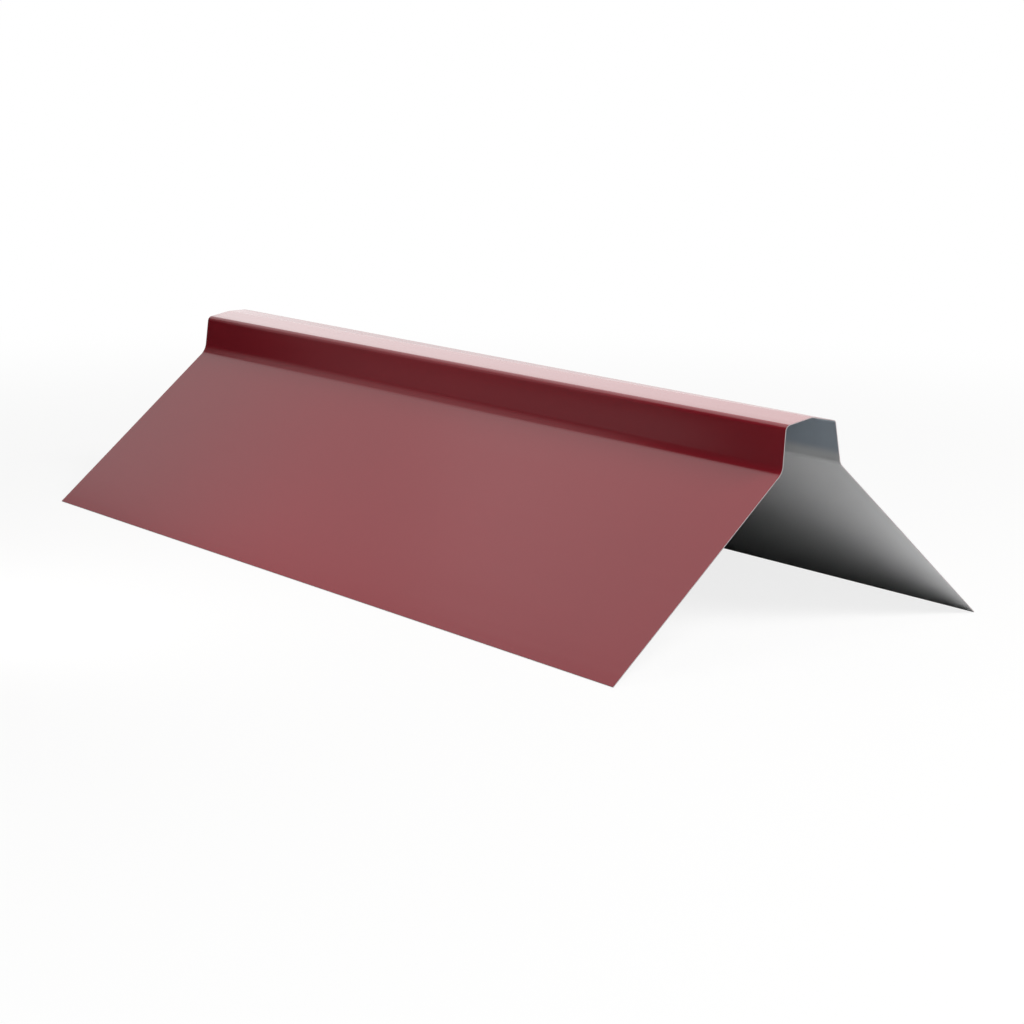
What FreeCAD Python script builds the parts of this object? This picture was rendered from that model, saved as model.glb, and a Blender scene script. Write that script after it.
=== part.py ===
import FreeCAD, Part

import math
import os

# Ridge flashing: a strip of coated steel sheet, folded lengthwise to cap the ridge of a roof.
# Two wide wings lie on the roof slopes. Between them, two short walls carry a low gabled cap.
# Millimetres. X runs across the ridge, Y along it and Z up. The origin is at the middle of the
# rectangle that the sheet covers, on the level floor where its two eave edges rest.

# Driving dimensions of the strip

LENGTH = 625.0              # along the ridge, end to end
SHEET_THICKNESS = 0.5       # steel with its coats

# Widths of the flats, on the painted face, between the sharp fold lines

WING_WIDTH = 163.0          # down the slope, from the valley fold to the eave edge
WALL_WIDTH = 25.0           # from the cap's edge fold down to the valley fold
CAP_WIDTH = 20.0            # one half of the cap, from the crest to its edge fold

# Slopes of the flats, in degrees below level, going outwards from the crest

WING_FALL = 40.3
WALL_FALL = 82.0
CAP_FALL = 12.0

# Radii of the bends, each on its hollow side

CREST_RADIUS = 3.0
EDGE_FOLD_RADIUS = 2.0
VALLEY_RADIUS = 9.0

# The flats from the left eave to the right one, each with its width and its fall to the right.
# A negative fall rises. One bend joins each flat to the next.

FLATS = [
    (WING_WIDTH, -WING_FALL),
    (WALL_WIDTH, -WALL_FALL),
    (CAP_WIDTH, -CAP_FALL),
    (CAP_WIDTH, CAP_FALL),
    (WALL_WIDTH, WALL_FALL),
    (WING_WIDTH, WING_FALL),
]
BENDS = [VALLEY_RADIUS, EDGE_FOLD_RADIUS, CREST_RADIUS, EDGE_FOLD_RADIUS, VALLEY_RADIUS]


def along(fall):
    """Unit vector to the right across the ridge, down by this fall."""
    angle = math.radians(fall)
    return FreeCAD.Vector(math.cos(angle), 0, -math.sin(angle))


def below(fall):
    """Unit vector out of the lower face of a flat with this fall."""
    angle = math.radians(fall)
    return FreeCAD.Vector(-math.sin(angle), 0, -math.cos(angle))


def straight(start, end):
    """Straight edge between two points."""
    return Part.LineSegment(start, end).toShape()


def upper_corners():
    """Corners of the painted upper face, as if every bend were sharp, from left to right."""
    span = sum(width * along(fall).x for width, fall in FLATS)
    eave_height = SHEET_THICKNESS * -below(WING_FALL).z
    corners = [FreeCAD.Vector(-span / 2, -LENGTH / 2, eave_height)]
    for width, fall in FLATS:
        corners.append(corners[-1] + along(fall) * width)
    return corners


def lower_corners():
    """The same corners on the lower face, one sheet thickness away from the upper one."""
    normals = [below(fall) for width, fall in FLATS]
    before = [normals[0]] + normals
    after = normals + [normals[-1]]
    return [
        corner + (left + right) * (SHEET_THICKNESS / (1 + left.dot(right)))
        for corner, left, right in zip(upper_corners(), before, after)
    ]


def bend_radii(upper_face):
    """Radius of every bend on the upper or the lower face, which share the bend's centre."""
    radii = []
    for (_, fall), (_, next_fall), hollow_radius in zip(FLATS, FLATS[1:], BENDS):
        hollow_above = next_fall < fall
        on_hollow_side = hollow_above == upper_face
        radii.append(hollow_radius if on_hollow_side else hollow_radius + SHEET_THICKNESS)
    return radii


def bent_line(corners, radii):
    """Edges of one face of the section: straight flats, joined at the corners by tangent arcs."""
    edges = []
    start = corners[0]
    for before, corner, after, radius in zip(corners, corners[1:], corners[2:], radii):
        back = (before - corner).normalize()
        ahead = (after - corner).normalize()
        bisector = (back + ahead).normalize()
        half_turn = (math.pi - back.getAngle(ahead)) / 2
        setback = radius * math.tan(half_turn)
        arc_start = corner + back * setback
        arc_middle = corner + bisector * (radius / math.cos(half_turn) - radius)
        arc_end = corner + ahead * setback
        edges.append(straight(start, arc_start))
        edges.append(Part.Arc(arc_start, arc_middle, arc_end).toShape())
        start = arc_end
    edges.append(straight(start, corners[-1]))
    return edges


def folded_section():
    """The section of the sheet at its near end, square to the ridge, cut square at both eaves."""
    upper = upper_corners()
    lower = lower_corners()
    edges = bent_line(upper, bend_radii(True)) + bent_line(lower, bend_radii(False))
    edges += [straight(upper[0], lower[0]), straight(upper[-1], lower[-1])]
    return Part.Face(Part.Wire(Part.__sortEdges__(edges)))


def ridge_flashing():
    """The whole folded sheet, its two ends cut square to the ridge."""
    return folded_section().extrude(FreeCAD.Vector(0, LENGTH, 0))


os.makedirs("parts", exist_ok=True)
ridge_flashing().exportStep("parts/ridge_flashing.step")
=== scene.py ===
"""A ridge flashing: one strip of coated steel sheet, folded lengthwise, on a plain pale floor.

Metres, in the frame of the solid model: X across the ridge, Y along it and Z up, with the two eave
edges on the floor. The near end of the ridge is the one towards negative Y.
"""

import logging
import math
from dataclasses import dataclass, field
from enum import Enum
from typing import Iterable

import bpy
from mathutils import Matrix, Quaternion, Vector


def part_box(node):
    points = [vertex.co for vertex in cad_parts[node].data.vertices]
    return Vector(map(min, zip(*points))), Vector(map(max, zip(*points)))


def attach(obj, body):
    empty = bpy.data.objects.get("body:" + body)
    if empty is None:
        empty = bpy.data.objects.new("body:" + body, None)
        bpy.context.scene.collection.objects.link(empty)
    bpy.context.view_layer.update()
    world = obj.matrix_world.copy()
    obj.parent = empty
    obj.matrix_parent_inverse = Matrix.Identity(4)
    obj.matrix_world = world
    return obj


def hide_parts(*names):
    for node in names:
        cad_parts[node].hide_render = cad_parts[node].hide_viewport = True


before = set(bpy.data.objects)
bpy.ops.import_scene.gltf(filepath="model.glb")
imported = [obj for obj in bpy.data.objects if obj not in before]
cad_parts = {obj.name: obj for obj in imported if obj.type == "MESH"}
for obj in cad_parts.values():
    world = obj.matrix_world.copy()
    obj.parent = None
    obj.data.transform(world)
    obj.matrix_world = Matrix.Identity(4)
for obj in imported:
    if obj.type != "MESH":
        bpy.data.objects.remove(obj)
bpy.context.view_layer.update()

LOG = logging.getLogger("ridge_flashing")

NODE = "ridge_flashing"
BODY = "root"

Colour = tuple[float, float, float]
Point = tuple[float, float, float]
Settings = dict[str, object]
Inputs = dict[int | str, object]


def add_object(name: str, data: bpy.types.ID) -> bpy.types.Object:
    """Adds an object to the scene.

    Args:
        name: the object's name.
        data: its mesh, lamp or camera.

    Returns:
        The object.
    """
    item = bpy.data.objects.new(name, data)
    bpy.context.scene.collection.objects.link(item)
    return item


def bare_material(name: str) -> bpy.types.Material:
    """Makes a material that has no nodes yet.

    Args:
        name: the material's name.

    Returns:
        The material.
    """
    material = bpy.data.materials.new(name)
    material.use_nodes = True
    material.node_tree.nodes.clear()
    return material


def flat_quad(
    name: str, corners: Iterable[Point], material: bpy.types.Material
) -> bpy.types.Object:
    """Makes a flat, four-cornered object.

    Args:
        name: the object's name.
        corners: its four corners, in order.
        material: what it is made of.

    Returns:
        The object.
    """
    mesh = bpy.data.meshes.new(name)
    mesh.from_pydata(list(corners), [], [(0, 1, 2, 3)])
    mesh.materials.append(material)
    return add_object(name, mesh)


def shaded(colour: Colour, share: float) -> Colour:
    """The colour at a share of its lightness."""
    return tuple(share * part for part in colour)


class StripAttribute(Enum):
    """What the sheet's mesh remembers of the flat strip that it was folded from."""

    ACROSS = "across"
    ALONG = "along"
    FAR_PLACE = "far_place"


class Blend(Enum):
    """What a Mix node blends: its data type, and the numbers of its two values and its result."""

    VECTOR = ("VECTOR", 4, 5, 1)
    COLOUR = ("RGBA", 6, 7, 2)


class Field:
    """A number or a vector that varies over a shape: one output socket, with arithmetic."""

    def __init__(self, graph: "Graph", socket: bpy.types.NodeSocket) -> None:
        """Wraps an output socket.

        Args:
            graph: the graph that the socket's node is in.
            socket: the output socket.
        """
        self.graph = graph
        self.socket = socket

    def math(self, operation: str, *others: "Field | float") -> "Field":
        """One Math node, on this value and then the others.

        Args:
            operation: the Math node's operation.
            others: the values of its other sockets, in order.

        Returns:
            The node's result.
        """
        return self.graph.math(operation, self, *others)

    def __add__(self, other: "Field | float") -> "Field":
        """This value plus the other."""
        return self.math("ADD", other)

    def __radd__(self, other: float) -> "Field":
        """The other plus this value."""
        return self.math("ADD", other)

    def __sub__(self, other: "Field | float") -> "Field":
        """This value less the other."""
        return self.math("SUBTRACT", other)

    def __rsub__(self, other: float) -> "Field":
        """The other less this value."""
        return self.graph.math("SUBTRACT", other, self)

    def __mul__(self, other: "Field | float") -> "Field":
        """This value times the other."""
        return self.math("MULTIPLY", other)

    def __rmul__(self, other: float) -> "Field":
        """The other times this value."""
        return self.math("MULTIPLY", other)

    def __truediv__(self, other: "Field | float") -> "Field":
        """This value divided by the other."""
        return self.math("DIVIDE", other)

    def __neg__(self) -> "Field":
        """This value with its sign changed."""
        return self.math("MULTIPLY", -1.0)

    def between(self, low: float, high: float) -> "Field":
        """How far this value has gone from low to high, smoothly, held at 0 and 1 outside.

        Args:
            low: the value that gives 0.
            high: the value that gives 1. It may be the lesser of the two.

        Returns:
            A number from 0 to 1.
        """
        return self.graph.field(
            "ShaderNodeMapRange",
            {"interpolation_type": "SMOOTHSTEP"},
            {"Value": self, "From Min": low, "From Max": high},
        )


class Graph:
    """Adds nodes to one node tree."""

    def __init__(self, tree: bpy.types.NodeTree) -> None:
        """Starts on a tree.

        Args:
            tree: the node tree, which may already hold nodes.
        """
        self.tree = tree

    def node(
        self, kind: str, settings: Settings | None = None, inputs: Inputs | None = None
    ) -> bpy.types.Node:
        """Adds one node of any kind.

        Args:
            kind: the node's type.
            settings: the node's own properties, which are set first.
            inputs: a value or a Field for each socket, by the socket's name or number.

        Returns:
            The new node.
        """
        node = self.tree.nodes.new(kind)
        for name, value in (settings or {}).items():
            setattr(node, name, value)
        for key, value in (inputs or {}).items():
            if isinstance(value, Field):
                self.tree.links.new(value.socket, node.inputs[key])
            else:
                node.inputs[key].default_value = value
        return node

    def field(
        self,
        kind: str,
        settings: Settings | None = None,
        inputs: Inputs | None = None,
        output: int | str = 0,
    ) -> Field:
        """Adds one node and gives one of its outputs.

        Args:
            kind: the node's type.
            settings: the node's own properties.
            inputs: a value or a Field for each socket.
            output: the name or number of the output socket.

        Returns:
            That output.
        """
        return Field(self, self.node(kind, settings, inputs).outputs[output])

    def output(self, kind: str, result: Field) -> None:
        """Ends the tree in an output node of this kind."""
        self.tree.links.new(result.socket, self.node(kind).inputs[0])

    def object_place(self) -> Field:
        """Where a point of the surface is, in metres."""
        return self.field("ShaderNodeTexCoord", None, None, "Object")

    def math(self, operation: str, *values: Field | float) -> Field:
        """One Math node.

        Args:
            operation: the Math node's operation.
            values: what its sockets hold, in order.

        Returns:
            The node's result.
        """
        return self.field("ShaderNodeMath", {"operation": operation}, dict(enumerate(values)))

    def vector(self, x: Field | float, y: Field | float, z: Field | float) -> Field:
        """A vector from its three parts.

        Args:
            x: the first part.
            y: the second part.
            z: the third part.

        Returns:
            The vector.
        """
        return self.field("ShaderNodeCombineXYZ", None, {0: x, 1: y, 2: z})

    def vector_math(self, operation: str, *values: Field | Point) -> Field:
        """One Vector Math node.

        Args:
            operation: the node's operation.
            values: what its vector sockets hold, in order.

        Returns:
            The node's result: a number for a length or a distance, and else a vector.
        """
        output = "Value" if operation in ("LENGTH", "DISTANCE") else "Vector"
        inputs = dict(enumerate(values))
        return self.field("ShaderNodeVectorMath", {"operation": operation}, inputs, output)

    def pick(self, index: Field, values: Iterable[Field | float], kind: str = "FLOAT") -> Field:
        """The value at this index of a list.

        Args:
            index: which value is wanted, from 0.
            values: the list.
            kind: the values' data type.

        Returns:
            The chosen value.
        """
        values = list(values)
        switch = self.node("GeometryNodeIndexSwitch", {"data_type": kind}, {"Index": index})
        while len(switch.index_switch_items) < len(values):
            switch.index_switch_items.new()
        for place, value in enumerate(values, start=1):
            if isinstance(value, Field):
                self.tree.links.new(value.socket, switch.inputs[place])
            else:
                switch.inputs[place].default_value = value
        return Field(self, switch.outputs[0])

    def blend(
        self,
        factor: Field | float,
        first: Field | Colour,
        second: Field | Colour,
        kind: Blend = Blend.COLOUR,
    ) -> Field:
        """A colour or a vector between two others.

        Args:
            factor: 0 gives the first and 1 the second.
            first: a linear colour, or a Field.
            second: a linear colour, or a Field.
            kind: whether the two are colours or vectors.

        Returns:
            The blended value.
        """
        data_type, first_socket, second_socket, result = kind.value
        first, second = (v if isinstance(v, Field) else (*v, 1.0) for v in (first, second))
        inputs = {0: factor, first_socket: first, second_socket: second}
        return self.field("ShaderNodeMix", {"data_type": data_type}, inputs, result)


class Finish:
    """A material, and the parts that every finish on the sheet is made from."""

    def __init__(self, name: str) -> None:
        """Makes an empty material with its shader and its output.

        Args:
            name: the material's name.
        """
        self.material = bare_material(name)
        self.graph = Graph(self.material.node_tree)
        self.shader = self.graph.node("ShaderNodeBsdfPrincipled")
        self.graph.output("ShaderNodeOutputMaterial", Field(self.graph, self.shader.outputs[0]))

    def set(self, socket: str, value: Field | float | Colour) -> None:
        """Sets or links one of the shader's sockets.

        Args:
            socket: the socket's name.
            value: a number, a colour or a Field.
        """
        target = self.shader.inputs[socket]
        if isinstance(value, Field):
            self.material.node_tree.links.new(value.socket, target)
        else:
            target.default_value = (*value, 1.0) if isinstance(value, tuple) else value

    def strip(self, attribute: StripAttribute) -> Field:
        """Where a point lay on the flat strip.

        Args:
            attribute: which of the two directions.

        Returns:
            The distance from the strip's middle, in metres.
        """
        settings = {"attribute_name": attribute.value, "attribute_type": "GEOMETRY"}
        return self.graph.field("ShaderNodeAttribute", settings, None, "Fac")

    def noise(self, place: Field, scale: float, detail: float = 2.0) -> Field:
        """Smooth noise from 0 to 1.

        Args:
            place: the vector that it is read at.
            scale: its frequency, in cycles for each unit of the vector.
            detail: how many finer layers it has.

        Returns:
            The noise.
        """
        inputs = {"Vector": place, "Scale": scale, "Detail": detail}
        return self.graph.field("ShaderNodeTexNoise", None, inputs)

    def roughen(self, noise: Field, middle: float, spread: float) -> None:
        """Sets a roughness that a noise varies by this spread, evenly about the middle."""
        self.set("Roughness", noise * spread + (middle - spread / 2))

    def bump(self, height: Field, distance: float) -> None:
        """Gives the surface a fine relief.

        Args:
            height: the relief, from 0 to 1.
            distance: how deep the whole relief is, in metres.
        """
        inputs = {"Height": height, "Distance": distance}
        self.set("Normal", self.graph.field("ShaderNodeBump", None, inputs))


@dataclass(frozen=True)
class WineRedCoat:
    """The gloss coat on the upper face, rolled on along the strip before it was folded.

    Scales are in cycles for each metre. The streaks have one across the strip and one along it.
    """

    colour: Colour = (0.215, 0.0125, 0.0205)
    darkest_share: float = 0.9
    cloud_scale: float = 7.0
    roughness: float = 0.17
    roughness_spread: float = 0.06
    streak_scales: tuple[float, float] = (220.0, 4.0)
    streak_detail: float = 3.0
    relief_scale: float = 650.0
    relief_depth: float = 0.000006

    def material(self) -> bpy.types.Material:
        """Builds the coat.

        Returns:
            The material.
        """
        finish = Finish("wine_red_coat")
        place = finish.graph.object_place()
        across = finish.strip(StripAttribute.ACROSS) * self.streak_scales[0]
        along = finish.strip(StripAttribute.ALONG) * self.streak_scales[1]
        streaks = finish.noise(finish.graph.vector(across, along, 0.0), 1.0, self.streak_detail)
        clouds = finish.noise(place, self.cloud_scale)
        darkest = shaded(self.colour, self.darkest_share)
        finish.set("Base Color", finish.graph.blend(clouds, darkest, self.colour))
        finish.roughen(streaks, self.roughness, self.roughness_spread)
        finish.bump(finish.noise(place, self.relief_scale), self.relief_depth)
        return finish.material


@dataclass(frozen=True)
class GreyBacking:
    """The thin grey coat on the lower face, with painted shade: darker and bluer in the folds
    under the cap.

    The painted shade's colour turns into the plain one between two distances from the crest,
    along the strip's section. Scales are in cycles for each metre.
    """

    colour: Colour = (0.40, 0.402, 0.408)
    painted_shade_colour: Colour = (0.268, 0.304, 0.343)
    painted_shade_reach: tuple[float, float] = (0.035, 0.041)
    roughness: float = 0.24
    roughness_spread: float = 0.08
    cloud_scale: float = 30.0
    index: float = 1.6
    relief_scale: float = 900.0
    relief_depth: float = 0.000004

    def material(self) -> bpy.types.Material:
        """Builds the backing coat, with its painted shade.

        Returns:
            The material.
        """
        finish = Finish("grey_backing")
        place = finish.graph.object_place()
        from_crest = finish.strip(StripAttribute.ACROSS).math("ABSOLUTE")
        # Painted shade: near the crest, under the cap, the colour is darker and bluer than the
        # plain grey.
        flat = from_crest.between(*self.painted_shade_reach)
        finish.set("Base Color", finish.graph.blend(flat, self.painted_shade_colour, self.colour))
        clouds = finish.noise(place, self.cloud_scale)
        finish.roughen(clouds, self.roughness, self.roughness_spread)
        finish.set("IOR", self.index)
        finish.bump(finish.noise(place, self.relief_scale), self.relief_depth)
        return finish.material


@dataclass(frozen=True)
class ShearedSteel:
    """Bare galvanised steel where the strip was cut, with a fine grain in cycles for each metre."""

    colour: Colour = (0.52, 0.46, 0.47)
    darkest_share: float = 0.8
    roughness: float = 0.42
    grain_scale: float = 2500.0
    grain_depth: float = 0.00001

    def material(self) -> bpy.types.Material:
        """Builds the cut edge.

        Returns:
            The material.
        """
        finish = Finish("sheared_steel")
        grain = finish.noise(finish.graph.object_place(), self.grain_scale)
        darkest = shaded(self.colour, self.darkest_share)
        finish.set("Base Color", finish.graph.blend(grain, darkest, self.colour))
        finish.set("Metallic", 1.0)
        finish.set("Roughness", self.roughness)
        finish.bump(grain, self.grain_depth)
        return finish.material


class Corner(Enum):
    """The sharp corners of the section, from the left eave to the right one."""

    LEFT_EAVE = 0
    LEFT_VALLEY = 1
    LEFT_EDGE = 2
    CREST = 3
    RIGHT_EDGE = 4
    RIGHT_VALLEY = 5
    RIGHT_EAVE = 6


class End(Enum):
    """The two ends of the sheet."""

    NEAR = "Near"
    FAR = "Far"


def corner_size(end: End, corner: Corner, size: str) -> str:
    """The folding tree's name for one size of one end's corner."""
    return f"{end.value} {corner.name} {size}"


def set_off(right: float, up: float) -> Point:
    """How far a corner lies from its nominal place.

    Args:
        right: millimetres to the right, across the ridge.
        up: millimetres upwards.

    Returns:
        The same, as a vector in metres.
    """
    return (right / 1000.0, 0.0, up / 1000.0)


@dataclass
class FoldedSheet:
    """The strip of coated steel and the folds that make it a ridge flashing.

    Widths are those of the painted face, between the sharp fold lines. Falls are in degrees below
    level, going outwards from the crest. Radii are those of the painted face. A sheet this thin
    doesn't keep its section exactly, so each end has corners that are a little out of true, and
    its wings are wavy. The waves' scale is in cycles for each metre.
    """

    wing_width: float = 0.163
    wall_width: float = 0.025
    cap_width: float = 0.020
    wing_fall: float = 40.3
    wall_fall: float = 82.0
    cap_fall: float = 12.0
    thickness: float = 0.0005
    radii: dict[End, dict[Corner, float]] = field(default_factory=lambda: {
        End.NEAR: {
            Corner.LEFT_VALLEY: 0.009,
            Corner.LEFT_EDGE: 0.004,
            Corner.CREST: 0.0035,
            Corner.RIGHT_EDGE: 0.0025,
            Corner.RIGHT_VALLEY: 0.007,
        },
        End.FAR: {
            Corner.LEFT_VALLEY: 0.0125,
            Corner.LEFT_EDGE: 0.004,
            Corner.CREST: 0.0035,
            Corner.RIGHT_EDGE: 0.0025,
            Corner.RIGHT_VALLEY: 0.007,
        },
    })
    out_of_true: dict[End, dict[Corner, Point]] = field(default_factory=lambda: {
        End.NEAR: {
            Corner.LEFT_EAVE: set_off(2.0, 0.0),
            Corner.LEFT_VALLEY: set_off(-0.2, -0.9),
            Corner.LEFT_EDGE: set_off(-2.1, 0.8),
            Corner.CREST: set_off(-0.9, -0.05),
            Corner.RIGHT_EDGE: set_off(-1.4, 0.4),
            Corner.RIGHT_VALLEY: set_off(0.5, -0.5),
        },
        End.FAR: {
            Corner.LEFT_VALLEY: set_off(0.6, -1.3),
            Corner.LEFT_EDGE: set_off(0.2, -0.9),
            Corner.CREST: set_off(0.0, -1.4),
            Corner.RIGHT_EDGE: set_off(-4.0, 2.9),
        },
    })
    bend_steps: int = 12
    flat_step: float = 0.007
    length_steps: int = 90
    waviness: float = 0.00025
    wave_scale: float = 6.0
    wave_detail: float = 1.0
    weld: float = 0.000001

    def sizes(self) -> dict[str, float | Point]:
        """The named inputs of the folding tree.

        Returns:
            Each input's name and value, with angles in radians.
        """
        low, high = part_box(NODE)
        sizes: dict[str, float | Point] = {
            "Length": high.y - low.y,
            "Height": high.z - low.z,
            "Wing width": self.wing_width,
            "Wall width": self.wall_width,
            "Cap width": self.cap_width,
            "Wing fall": math.radians(self.wing_fall),
            "Wall fall": math.radians(self.wall_fall),
            "Cap fall": math.radians(self.cap_fall),
            "Thickness": self.thickness,
            "Flat step": self.flat_step,
            "Waviness": self.waviness,
            "Wave scale": self.wave_scale,
        }
        for end in End:
            for corner in Corner:
                shift = self.out_of_true[end].get(corner, (0.0, 0.0, 0.0))
                sizes[corner_size(end, corner, "shift")] = shift
                sizes[corner_size(end, corner, "radius")] = self.radii[end].get(corner, 0.0)
        return sizes

    def bent_line(self, graph: Graph, size: dict[str, Field], end: End) -> Field:
        """The painted face's section at one end, with its bends rounded.

        Args:
            graph: the folding tree.
            size: the tree's named inputs.
            end: which end of the sheet.

        Returns:
            A curve in the XZ plane, from left eave to right eave.
        """
        run = {}
        drop = {}
        for flat in ("Wing", "Wall", "Cap"):
            run[flat] = size[flat + " width"] * size[flat + " fall"].math("COSINE")
            drop[flat] = size[flat + " width"] * size[flat + " fall"].math("SINE")
        edge_x = run["Cap"]
        valley_x = edge_x + run["Wall"]
        eave_x = valley_x + run["Wing"]
        eave_z = size["Thickness"] * size["Wing fall"].math("COSINE")
        valley_z = eave_z + drop["Wing"]
        edge_z = valley_z + drop["Wall"]
        crest_radius = size[corner_size(end, Corner.CREST, "radius")]
        crest_z = size["Height"] + crest_radius / size["Cap fall"].math("COSINE") - crest_radius

        index = graph.field("GeometryNodeInputIndex")
        from_crest = index - Corner.CREST.value
        place = from_crest.math("ABSOLUTE")
        x = graph.pick(place, (0.0, edge_x, valley_x, eave_x)) * from_crest.math("SIGN")
        z = graph.pick(place, (crest_z, edge_z, valley_z, eave_z))
        shifts = [size[corner_size(end, corner, "shift")] for corner in Corner]
        shift = graph.pick(index, shifts, "VECTOR")
        place = graph.vector_math("ADD", graph.vector(x, 0.0, z), shift)
        radii = [size[corner_size(end, corner, "radius")] for corner in Corner]
        radius = graph.pick(index, radii)

        inputs = {"Count": len(Corner), "Position": place}
        points = graph.field("GeometryNodePoints", None, inputs)
        curve = graph.field("GeometryNodePointsToCurves", None, {"Points": points})
        inputs = {"Curve": curve, "Count": self.bend_steps, "Radius": radius, "Limit Radius": False}
        return graph.field("GeometryNodeFilletCurve", {"mode": "POLY"}, inputs)

    def sections(self, graph: Graph, size: dict[str, Field]) -> Field:
        """The near end's section, which also holds the far end's.

        Args:
            graph: the folding tree.
            size: the tree's named inputs.

        Returns:
            The near section's curve. Its points hold the strip's own measure across it and the
            place of the same point at the far end.
        """
        index = graph.field("GeometryNodeInputIndex")
        here = graph.field("GeometryNodeInputPosition")
        settings = {"data_type": "FLOAT_VECTOR", "domain": "POINT"}
        inputs = {"Value": here, "Index": index + 1}
        ahead = graph.field("GeometryNodeFieldAtIndex", settings, inputs)
        span = graph.vector_math("DISTANCE", here, ahead)
        cuts = (span / size["Flat step"]).math("TRUNC")

        near = self.bent_line(graph, size, End.NEAR)
        settings = {"data_type": "INT", "domain": "POINT"}
        inputs = {"Geometry": near, "Value": cuts, "Index": index}
        near_cuts = graph.field("GeometryNodeSampleIndex", settings, inputs)
        inputs = {"Curve": self.bent_line(graph, size, End.FAR), "Cuts": near_cuts}
        far = graph.field("GeometryNodeSubdivideCurve", None, inputs)
        near = graph.field("GeometryNodeSubdivideCurve", None, {"Curve": near, "Cuts": cuts})

        settings = {"data_type": "FLOAT_VECTOR", "domain": "POINT"}
        inputs = {"Geometry": far, "Value": here, "Index": index}
        far_place = graph.field("GeometryNodeSampleIndex", settings, inputs)
        near = self.store(graph, near, StripAttribute.FAR_PLACE, far_place, "FLOAT_VECTOR")
        strip_width = graph.field("GeometryNodeCurveLength", None, {"Curve": near})
        from_eave = graph.field("GeometryNodeSplineParameter", None, None, "Length")
        return self.store(graph, near, StripAttribute.ACROSS, from_eave - strip_width / 2)

    def store(
        self,
        graph: Graph,
        shape: Field,
        attribute: StripAttribute,
        value: Field,
        kind: str = "FLOAT",
    ) -> Field:
        """Stores a value on every point of a shape.

        Args:
            graph: the folding tree.
            shape: the geometry.
            attribute: the name that it is stored under.
            value: the value.
            kind: the value's data type.

        Returns:
            The geometry with the value on it.
        """
        settings = {"data_type": kind, "domain": "POINT"}
        inputs = {"Geometry": shape, "Name": attribute.value, "Value": value}
        return graph.field("GeometryNodeStoreNamedAttribute", settings, inputs)

    def sweep(self, graph: Graph, size: dict[str, Field], section: Field) -> Field:
        """Draws the section out along the ridge, from the near end's shape to the far end's.

        Args:
            graph: the folding tree.
            size: the tree's named inputs.
            section: the near section's curve.

        Returns:
            The painted face, as an open mesh.
        """
        half = size["Length"] / 2
        ends = {"Start": graph.vector(-half, 0.0, 0.0), "End": graph.vector(half, 0.0, 0.0)}
        line = graph.field("GeometryNodeCurvePrimitiveLine", {"mode": "POINTS"}, ends)
        inputs = {"Curve": line, "Count": self.length_steps + 1}
        line = graph.field("GeometryNodeResampleCurve", {"mode": "COUNT"}, inputs)
        section = graph.field("GeometryNodeSetCurveNormal", {"mode": "Z_UP"}, {"Curve": section})
        inputs = {"Curve": section, "Profile Curve": line}
        face = graph.field("GeometryNodeCurveToMesh", None, inputs)

        place = graph.field("GeometryNodeInputPosition")
        along = graph.field("ShaderNodeSeparateXYZ", None, {0: place}, 1)
        face = self.store(graph, face, StripAttribute.ALONG, along)
        settings = {"data_type": "FLOAT_VECTOR"}
        inputs = {"Name": StripAttribute.FAR_PLACE.value}
        far_place = graph.field("GeometryNodeInputNamedAttribute", settings, inputs)
        far_place = graph.vector_math("ADD", far_place, graph.vector(0.0, along, 0.0))
        from_near = (along + half) / size["Length"]
        between = graph.blend(from_near, place, far_place, Blend.VECTOR)
        inputs = {"Geometry": face, "Position": between}
        face = graph.field("GeometryNodeSetPosition", None, inputs)
        inputs = {"Geometry": face, "Name": StripAttribute.FAR_PLACE.value}
        return graph.field("GeometryNodeRemoveAttribute", None, inputs)

    def handle(self, graph: Graph, size: dict[str, Field], face: Field) -> Field:
        """Gives the flat wings the small bends that a thin sheet takes on in folding and handling.

        Folds, eaves and the plan of the sheet stay where they are.

        Args:
            graph: the folding tree.
            size: the tree's named inputs.
            face: the painted face.

        Returns:
            The painted face with its flats moved.
        """
        place = graph.field("GeometryNodeInputPosition")
        z = graph.field("ShaderNodeSeparateXYZ", None, {0: place}, 2)
        eave_z = size["Thickness"] * size["Wing fall"].math("COSINE")
        rise = size["Wing width"] * size["Wing fall"].math("SINE")
        up_the_wing = ((z - eave_z) / rise).math("MINIMUM", 1.0).math("MAXIMUM", 0.0)
        # The bow is 0 at the eave and the valley and 1 halfway. The ripple runs from -1 to 1.
        bow = up_the_wing * (1.0 - up_the_wing) * 4.0
        inputs = {"Vector": place, "Scale": size["Wave scale"], "Detail": self.wave_detail}
        ripple = (graph.field("ShaderNodeTexNoise", None, inputs) - 0.5) * 2.0
        waves = ripple * bow * size["Waviness"]

        normal = graph.field("GeometryNodeInputNormal")
        inputs = {0: normal, "Scale": waves}
        offset = graph.field("ShaderNodeVectorMath", {"operation": "SCALE"}, inputs)
        inputs = {"Geometry": face, "Offset": offset}
        return graph.field("GeometryNodeSetPosition", None, inputs)

    def thicken(self, graph: Graph, size: dict[str, Field], face: Field) -> tuple[Field, Field]:
        """Gives the painted face its backing and its cut edges.

        Args:
            graph: the folding tree.
            size: the tree's named inputs.
            face: the painted face, with its normals outwards.

        Returns:
            The closed sheet, and which of its faces are cut edges.
        """
        under = graph.field("GeometryNodeFlipFaces", None, {"Mesh": face})
        inputs = {"Mesh": under, "Offset Scale": size["Thickness"], "Individual": False}
        extrude = graph.node("GeometryNodeExtrudeMesh", {"mode": "FACES"}, inputs)
        backing, cut = (Field(graph, extrude.outputs[name]) for name in ("Mesh", "Side"))

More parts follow.
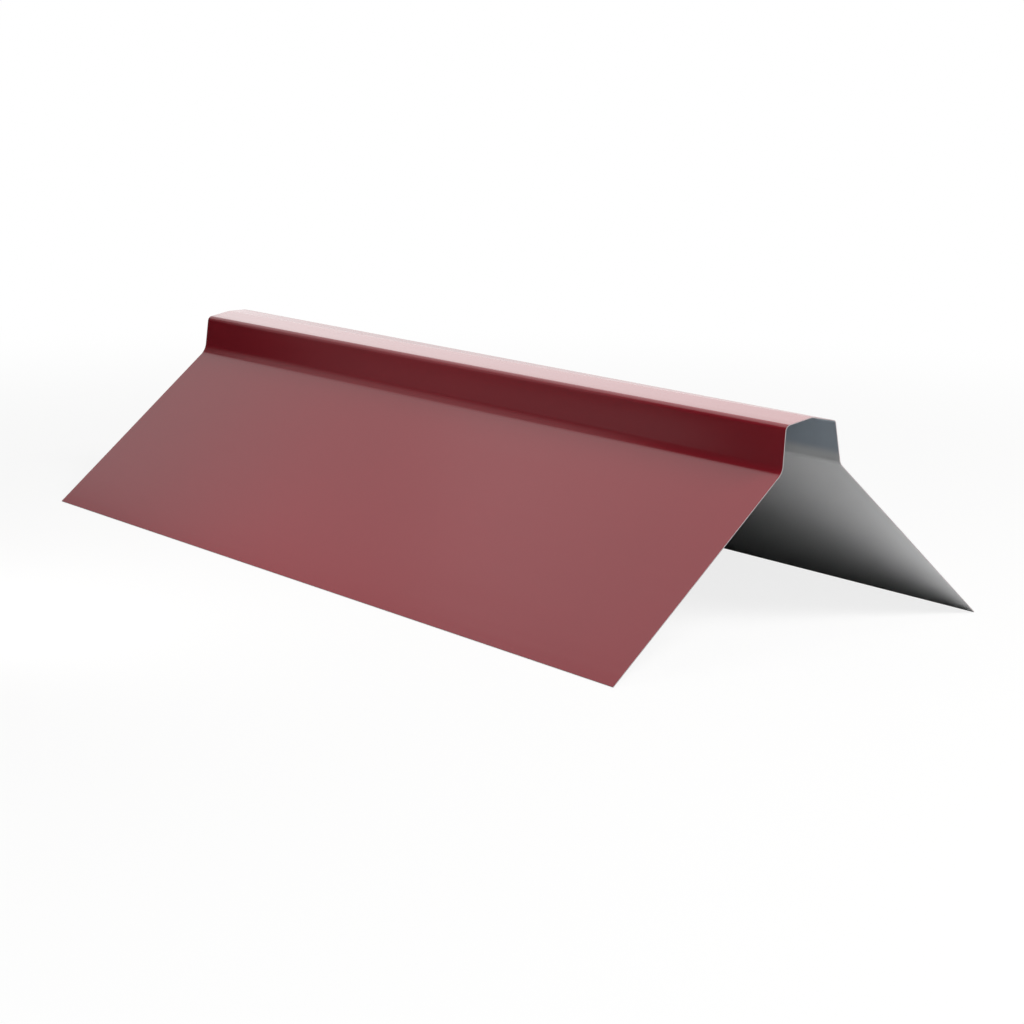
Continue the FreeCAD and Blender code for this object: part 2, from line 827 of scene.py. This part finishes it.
        face = self.dress(graph, face, WineRedCoat().material())
        backing = self.dress(graph, backing, GreyBacking().material())
        join = graph.node("GeometryNodeJoinGeometry")
        for half in (face, backing):
            graph.tree.links.new(half.socket, join.inputs[0])
        inputs = {"Geometry": Field(graph, join.outputs[0]), "Distance": self.weld}
        closed = graph.field("GeometryNodeMergeByDistance", None, inputs)
        inputs = {"Geometry": closed, "Selection": cut, "Shade Smooth": False}
        for domain in ("FACE", "EDGE"):
            settings = {"domain": domain}
            inputs["Geometry"] = graph.field("GeometryNodeSetShadeSmooth", settings, inputs)
        return inputs["Geometry"], cut

    def dress(
        self,
        graph: Graph,
        shape: Field,
        material: bpy.types.Material,
        part: Field | bool = True,
    ) -> Field:
        """Gives a shape its material.

        Args:
            graph: the folding tree.
            shape: the geometry.
            material: what it is made of.
            part: which of its faces are.

        Returns:
            The geometry with the material on it.
        """
        inputs = {"Geometry": shape, "Selection": part, "Material": material}
        return graph.field("GeometryNodeSetMaterial", None, inputs)

    def keep_inside(self, graph: Graph, sheet: Field) -> Field:
        """Draws points that rounding has put outside the plain solid's box back onto it.

        Args:
            graph: the folding tree.
            sheet: the closed sheet.

        Returns:
            The sheet, nowhere larger than the plain solid.
        """
        place = graph.field("GeometryNodeInputPosition")
        for operation, corner in zip(("MAXIMUM", "MINIMUM"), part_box(NODE)):
            place = graph.vector_math(operation, place, tuple(corner))
        return graph.field("GeometryNodeSetPosition", None, {"Geometry": sheet, "Position": place})

    def folding_tree(self) -> bpy.types.NodeTree:
        """Builds the Geometry Nodes that fold the strip.

        Returns:
            The tree.
        """
        tree = bpy.data.node_groups.new("fold_sheet", "GeometryNodeTree")
        kind = "NodeSocketGeometry"
        tree.interface.new_socket(name="Geometry", in_out="OUTPUT", socket_type=kind)
        for name, value in self.sizes().items():
            kind = "NodeSocketVector" if isinstance(value, tuple) else "NodeSocketFloat"
            tree.interface.new_socket(name=name, in_out="INPUT", socket_type=kind)
        graph = Graph(tree)
        group = graph.node("NodeGroupInput")
        size = {name: Field(graph, group.outputs[name]) for name in self.sizes()}

        face = self.sweep(graph, size, self.sections(graph, size))
        sheet, cut = self.thicken(graph, size, self.handle(graph, size, face))
        sheet = self.keep_inside(graph, sheet)
        real = graph.field("GeometryNodeRealizeInstances", None, {"Geometry": sheet})
        done = self.dress(graph, real, ShearedSteel().material(), cut)
        graph.output("NodeGroupOutput", done)
        return tree

    def build(self) -> bpy.types.Object:
        """Folds the sheet and hands it over in place of the plain solid.

        Returns:
            The finished piece.
        """
        seed = add_object("seed", bpy.data.meshes.new("seed"))
        tree = self.folding_tree()
        modifier = seed.modifiers.new("fold", "NODES")
        modifier.node_group = tree
        sockets = {item.name: item.identifier for item in tree.interface.items_tree}
        for name, value in self.sizes().items():
            modifier[sockets[name]] = value
        evaluated = seed.evaluated_get(bpy.context.evaluated_depsgraph_get())
        mesh = bpy.data.meshes.new_from_object(evaluated)
        mesh.name = "folded_sheet"
        bpy.data.objects.remove(seed)
        piece = add_object("folded_sheet", mesh)
        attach(piece, BODY)
        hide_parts(NODE)
        return piece


@dataclass(frozen=True)
class Softbox:
    """A flat lamp, with its radiance as a share of white.

    It faces the object, or its own aim where it has one. A lamp that isn't mirrored lights the
    object, but the gloss doesn't show it. The camera sees none of them.
    """

    name: str
    place: Point
    size: tuple[float, float]
    radiance: float
    aim: Point | None = None
    mirrored: bool = True

    def build(self, aim: Point) -> bpy.types.Object:
        """Hangs the lamp.

        Args:
            aim: the point that it faces where it has no aim of its own.

        Returns:
            The lamp.
        """
        light = bpy.data.lights.new(self.name, "AREA")
        light.shape = "RECTANGLE"
        light.size, light.size_y = self.size
        light.energy = self.radiance * math.pi * self.size[0] * self.size[1]
        lamp = add_object(self.name, light)
        lamp.location = self.place
        lamp.rotation_mode = "QUATERNION"
        towards = Vector(self.aim or aim) - Vector(self.place)
        lamp.rotation_quaternion = towards.to_track_quat("-Z", "Y")
        lamp.visible_camera = False
        lamp.visible_glossy = self.mirrored
        return lamp


@dataclass(frozen=True)
class SideCard:
    """A graded card that stands on the left of the object, along the ridge.

    The painted wall and the bends mirror it. It is dark at its two ends and lighter between two
    slanted lines, most of all high up and at its foot. A line is its place along the ridge at the
    floor, and how far it moves for each metre upwards. A reach is the two heights between which a
    share of the light tone changes. Places are in metres.
    """

    x: float = -0.35
    near: float = -0.30
    far: float = 1.90
    near_height: float = 0.60
    far_height: float = 0.82
    dark_tone: float = 0.0
    light_tone: float = 0.50
    near_line: tuple[float, float] = (0.04, 0.68)
    far_line: tuple[float, float] = (0.56, 1.10)
    softness: float = 0.04
    low_share: float = 0.30
    low_reach: tuple[float, float] = (0.12, 0.35)
    strip_share: float = 0.70
    strip_reach: tuple[float, float] = (0.115, 0.08)

    def tone(self, graph: Graph) -> Field:
        """How light the card is.

        Args:
            graph: the card's node tree.

        Returns:
            0 for the dark tone and 1 for the light one.
        """
        parts = graph.node("ShaderNodeSeparateXYZ", None, {0: graph.object_place()})
        y, z = (Field(graph, parts.outputs[axis]) for axis in "YZ")
        from_near = y - self.near_line[0] - z * self.near_line[1]
        from_far = self.far_line[0] + z * self.far_line[1] - y
        window = from_near.between(-self.softness, self.softness)
        window = window * from_far.between(-self.softness, self.softness)
        upper = self.low_share + (1.0 - self.low_share) * z.between(*self.low_reach)
        strip = z.between(*self.strip_reach) * self.strip_share
        return window * upper.math("MAXIMUM", strip)

    def build(self) -> bpy.types.Object:
        """Stands the card up. It shows in mirrors only: it lights nothing and casts no shadow.

        Returns:
            The card.
        """
        material = bare_material("side_card")
        graph = Graph(material.node_tree)
        dark = graph.field("ShaderNodeEmission", None, {"Strength": self.dark_tone})
        light = graph.field("ShaderNodeEmission", None, {"Strength": self.light_tone})
        inputs = {0: self.tone(graph), 1: dark, 2: light}
        mixed = graph.field("ShaderNodeMixShader", None, inputs)
        graph.output("ShaderNodeOutputMaterial", mixed)
        corners = (
            (self.x, self.near, 0.0),
            (self.x, self.far, 0.0),
            (self.x, self.far, self.far_height),
            (self.x, self.near, self.near_height),
        )
        card = flat_quad("side_card", corners, material)
        card.visible_camera = False
        card.visible_shadow = False
        card.visible_diffuse = False
        return card


@dataclass
class Studio:
    """The floor, the surroundings and the lamps.

    The floor looks lifted towards white, and is all white beyond two distances from the object,
    near_floor and far_floor. Its own colour is what lights the object and takes the shadow.
    """

    aim: Point = (0.0, 0.0, 0.06)
    floor_size: float = 60.0
    floor_drop: float = 0.0002
    floor_colour: Colour = (0.69, 0.685, 0.675)
    floor_lift: float = 0.82
    near_floor: float = 0.35
    far_floor: float = 1.3
    room_colour: Colour = (0.80, 0.90, 1.0)
    room_level: float = 0.02
    softboxes: tuple[Softbox, ...] = (
        Softbox("top_softbox", (-0.15, -0.2, 2.4), (1.6, 1.6), 1.6),
        Softbox("front_softbox", (0.3, -1.95, 2.05), (1.4, 1.0), 23.5, mirrored=False),
        Softbox("wall_softbox", (-0.38, 0.03, 0.17), (0.20, 0.22), 2.5, mirrored=False),
        Softbox("back_softbox", (0.0, 1.5, 2.0), (1.6, 1.2), 0.33),
        Softbox("low_back_softbox", (1.19, 1.61, 0.90), (1.1, 1.1), 1.10),
        Softbox(
            "near_floor_softbox", (0.09, -0.385, 0.002), (0.16, 0.13), 1.8, (0.09, -0.385, 1.0),
            mirrored=False,
        ),
        Softbox(
            "front_floor_softbox", (0.05, -0.56, 0.002), (0.40, 0.20), 1.8, (0.05, -0.56, 1.0),
            mirrored=False,
        ),
    )
    side_card: SideCard = SideCard()

    def build(self) -> None:
        """Lays the floor and sets up the light."""
        self.floor()
        self.surroundings()
        for softbox in self.softboxes:
            softbox.build(self.aim)
        self.side_card.build()

    def seen_directly(self, graph: Graph) -> tuple[Field, Field]:
        """Which rays show the background.

        Args:
            graph: the node tree of the floor or the world.

        Returns:
            1 for a ray from the camera or through glass, and 1 for a mirror ray.
        """
        path = graph.node("ShaderNodeLightPath")
        camera = Field(graph, path.outputs["Is Camera Ray"])
        through = Field(graph, path.outputs["Is Transmission Ray"])
        return camera.math("MAXIMUM", through), Field(graph, path.outputs["Is Glossy Ray"])

    def floor(self) -> bpy.types.Object:
        """The floor, nearly white to the camera, with the object's shadow on it.

        Returns:
            The floor.
        """
        material = bare_material("floor")
        graph = Graph(material.node_tree)
        distance = graph.vector_math("LENGTH", graph.object_place())
        away = distance.between(self.near_floor, self.far_floor)
        seen, mirrored = self.seen_directly(graph)
        lift = seen * (away * (1.0 - self.floor_lift) + self.floor_lift)
        white = lift.math("MAXIMUM", mirrored * away)
        diffuse = graph.field("ShaderNodeBsdfDiffuse", None, {"Color": (*self.floor_colour, 1.0)})
        glow = graph.field("ShaderNodeEmission", None, {"Strength": 1.0})
        mixed = graph.field("ShaderNodeMixShader", None, {0: white, 1: diffuse, 2: glow})
        graph.output("ShaderNodeOutputMaterial", mixed)
        half, z = self.floor_size / 2, -self.floor_drop
        corners = ((-half, -half, z), (half, -half, z), (half, half, z), (-half, half, z))
        floor = flat_quad("floor", corners, material)
        return floor

    def surroundings(self) -> None:
        """A world that is white where it is seen, and lights the object as a dim room."""
        world = bpy.data.worlds.new("studio")
        bpy.context.scene.world = world
        world.use_nodes = True
        world.node_tree.nodes.clear()
        graph = Graph(world.node_tree)
        settings = {"Color": (1.0, 1.0, 1.0, 1.0), "Strength": 1.0}
        white = graph.field("ShaderNodeBackground", None, settings)
        settings = {"Color": (*self.room_colour, 1.0), "Strength": self.room_level}
        room = graph.field("ShaderNodeBackground", None, settings)
        seen, mirrored = self.seen_directly(graph)
        inputs = {0: seen.math("MAXIMUM", mirrored), 1: room, 2: white}
        graph.output("ShaderNodeOutputWorld", graph.field("ShaderNodeMixShader", None, inputs))


@dataclass
class PhotographCamera:
    """The camera at the photograph's viewing angle, with no shift.

    Angles are in degrees, and the lens and the sensor's width in millimetres.
    """

    aim: Point = (0.01473, -0.02146, 0.02932)
    distance: float = 1.5720
    azimuth: float = -38.458
    elevation: float = 11.463
    roll: float = 0.795
    lens: float = 82.125
    sensor: float = 36.0
    clip_start: float = 0.05

    def build(self) -> bpy.types.Object:
        """Places the camera.

        Returns:
            The camera.
        """
        azimuth, elevation = math.radians(self.azimuth), math.radians(self.elevation)
        level = math.cos(elevation)
        back = Vector((math.sin(azimuth) * level, -math.cos(azimuth) * level, math.sin(elevation)))
        data = bpy.data.cameras.new("camera")
        data.lens = self.lens
        data.sensor_width = self.sensor
        data.clip_start = self.clip_start
        camera = add_object("camera", data)
        camera.location = Vector(self.aim) + back * self.distance
        camera.rotation_mode = "QUATERNION"
        turn = Quaternion((0.0, 0.0, 1.0), math.radians(self.roll))
        camera.rotation_quaternion = (-back).to_track_quat("-Z", "Y") @ turn
        bpy.context.scene.camera = camera
        return camera


def main() -> None:
    """Builds the sheet, the studio and the camera."""
    logging.basicConfig(level=logging.INFO, format="%(name)s: %(message)s")
    bpy.context.scene.view_settings.view_transform = "Standard"
    sheet = FoldedSheet().build()
    LOG.info("%s: %d faces", sheet.name, len(sheet.data.polygons))
    Studio().build()
    PhotographCamera().build()


if __name__ == "__main__":
    main()
